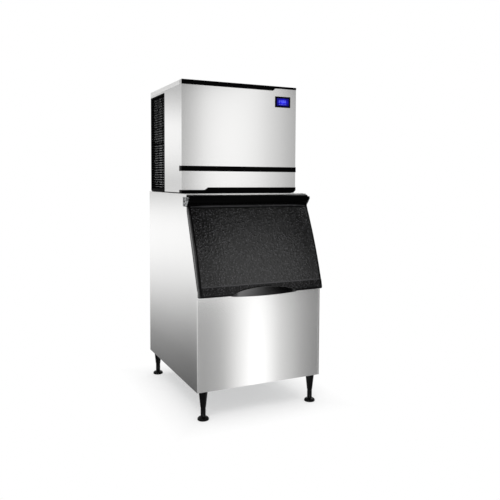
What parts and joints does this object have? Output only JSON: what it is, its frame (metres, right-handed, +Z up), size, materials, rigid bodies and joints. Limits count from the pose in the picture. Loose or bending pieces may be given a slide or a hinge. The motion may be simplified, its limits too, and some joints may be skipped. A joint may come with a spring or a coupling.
{
  "type": "commercial ice maker on storage bin",
  "caption": "Modular ice-making head with side intake grille and small display on an insulated storage bin with a sloped black swing-up door and levelling legs.",
  "frame": {"origin": "centre of the footprint's bounding box, on the floor under the feet", "axes": "+Z up, the door and display face -Y, the intake grille is on the -X side"},
  "size_m": [0.7746, 0.9754, 1.869],
  "materials": {
    "stainless": "satin brushed stainless steel",
    "galvanised": "dull galvanised sheet steel",
    "black_plastic": "pebble-grained black moulded plastic",
    "black_trim": "semi-gloss black trim",
    "rubber": "matte black rubber",
    "white_plastic": "food-grade white moulded plastic",
    "foam": "pale rigid insulating foam",
    "screen": "glossy blue display window",
    "copper": "drawn copper tube",
    "nickel": "bright nickel plate",
    "black_steel": "black paint",
    "filter_mesh": "dark grey moulded frame"
  },
  "bodies": {
    "cabinet": {"bin_side_panel_left": "stainless", "bin_side_panel_right": "stainless", "bin_front_panel": "stainless", "bin_deck": "stainless", "bin_header": "stainless", "head_side_panel_left": "stainless", "head_side_panel_right": "stainless", "head_top_cover": "stainless", "head_front_panel": "stainless", "bin_back_panel": "galvanised", "bin_base_pan": "galvanised", "hinge_bracket_left": "galvanised", "hinge_bracket_right": "galvanised", "head_base_pan": "galvanised", "head_rear_panel": "galvanised", "condenser_coil": "galvanised", "fan_shroud": "galvanised", "control_box": "galvanised", "intake_grille": "black_plastic", "pump_body": "black_plastic", "cable_gland": "black_plastic", "trim_strip_top": "black_trim", "trim_strip_middle": "black_trim", "trim_strip_bottom": "black_trim", "display_bezel": "black_trim", "head_gasket": "rubber", "bin_liner": "white_plastic", "bin_liner_wall_left": "white_plastic", "bin_liner_wall_right": "white_plastic", "bin_drain_fitting": "white_plastic", "partition_wall": "white_plastic", "water_distributor": "white_plastic", "water_trough": "white_plastic", "water_tube": "white_plastic", "float_valve": "white_plastic", "water_inlet_valve": "white_plastic", "bin_insulation": "foam", "display_screen": "screen", "evaporator_coil": "copper", "evaporator_grid": "nickel", "ice_level_probe": "nickel", "leg_front_left": "black_steel", "leg_front_right": "black_steel", "leg_back_left": "black_steel", "leg_back_right": "black_steel", "fan_motor": "black_steel", "compressor": "black_steel", "air_filter": "filter_mesh"},
    "door": {"door_shell": "black_plastic", "door_liner": "white_plastic", "door_gasket": "rubber"},
    "fan": {"fan_blade": "galvanised"},
    "pump_rotor": {"pump_impeller": "white_plastic"},
    "curtain": {"water_curtain": "white_plastic"},
    "float": {"float_arm": "white_plastic"},
    "rocker": {"mode_switch": "black_plastic"},
    "foot_front_left": {"foot_front_left": "black_steel"},
    "foot_front_right": {"foot_front_right": "black_steel"},
    "foot_back_left": {"foot_back_left": "black_steel"},
    "foot_back_right": {"foot_back_right": "black_steel"}
  },
  "joints": [
    {"name": "door_swing", "type": "hinge", "parent": "cabinet", "child": "door", "pos_m": [0, -0.27228, 1.193], "axis": [-1, 0, 0], "range_deg": [0, 168]},
    {"name": "fan_spin", "type": "hinge", "parent": "cabinet", "child": "fan", "pos_m": [-0.24, 0.30672, 1.554], "axis": [1, 0, 0], "continuous": true},
    {"name": "pump_spin", "type": "hinge", "parent": "cabinet", "child": "pump_rotor", "pos_m": [0.316, 0.10672, 1.28], "axis": [0, 0, 1], "continuous": true},
    {"name": "curtain_swing", "type": "hinge", "parent": "cabinet", "child": "curtain", "pos_m": [0.02, 0.08372, 1.83], "axis": [-1, 0, 0], "range_deg": [0, 22]},
    {"name": "float_lift", "type": "hinge", "parent": "cabinet", "child": "float", "pos_m": [-0.268, 0.10672, 1.354], "axis": [0, -1, 0], "range_deg": [0, 12]},
    {"name": "mode_rock", "type": "hinge", "parent": "cabinet", "child": "rocker", "pos_m": [0.33, -0.09028, 1.704], "axis": [1, 0, 0], "range_deg": [-8, 8]},
    {"name": "foot_front_left_level", "type": "slide", "parent": "cabinet", "child": "foot_front_left", "axis": [0, 0, -1], "range_m": [0, 0.025]},
    {"name": "foot_front_right_level", "type": "slide", "parent": "cabinet", "child": "foot_front_right", "axis": [0, 0, -1], "range_m": [0, 0.025]},
    {"name": "foot_back_left_level", "type": "slide", "parent": "cabinet", "child": "foot_back_left", "axis": [0, 0, -1], "range_m": [0, 0.025]},
    {"name": "foot_back_right_level", "type": "slide", "parent": "cabinet", "child": "foot_back_right", "axis": [0, 0, -1], "range_m": [0, 0.025]}
  ]
}
